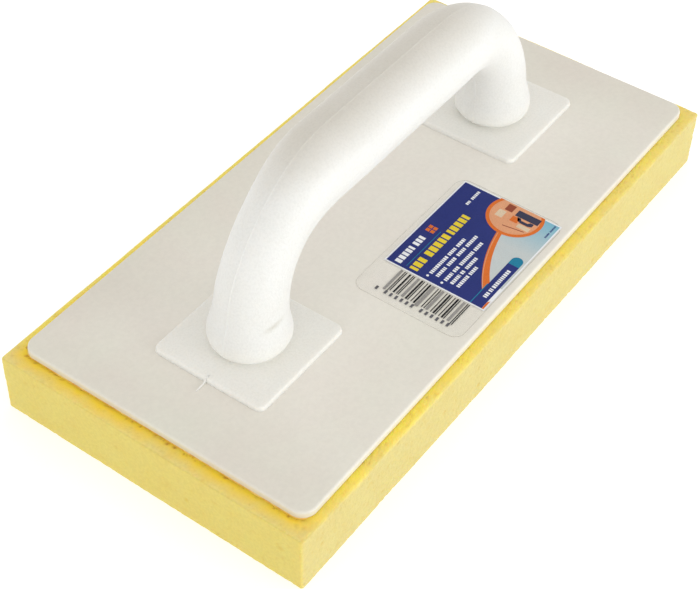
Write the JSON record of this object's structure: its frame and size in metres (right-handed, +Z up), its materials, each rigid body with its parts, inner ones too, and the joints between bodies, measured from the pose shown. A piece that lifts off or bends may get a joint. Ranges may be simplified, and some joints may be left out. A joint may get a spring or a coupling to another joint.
{
  "type": "grout float",
  "caption": "Rectangular foam block bonded to a thin plastic plate, with an arched round handle on two square pads, for washing grout off tiles.",
  "frame": {"origin": "centre of the foam's working face, on which the tool stands", "axes": "+X along the block's length, +Y across its width with the label on the -Y side, +Z up through the plate to the handle"},
  "size_m": [0.28, 0.1376, 0.1025],
  "materials": {
    "foam": "open-cell foam, cut faces",
    "adhesive": "dried contact adhesive",
    "plate_plastic": "satin off-white sheet",
    "handle_plastic": "white structural foam moulding, fine grain",
    "screw_steel": "zinc plated",
    "clear_film": "clear gloss film",
    "label_ink": "printed gloss film"
  },
  "bodies": {
    "root": {"sponge_block": "foam", "adhesive_film": "adhesive", "backing_plate": "plate_plastic", "handle": "handle_plastic", "handle_screws": "screw_steel", "label_film": "clear_film", "label_print": "label_ink"}
  },
  "joints": []
}
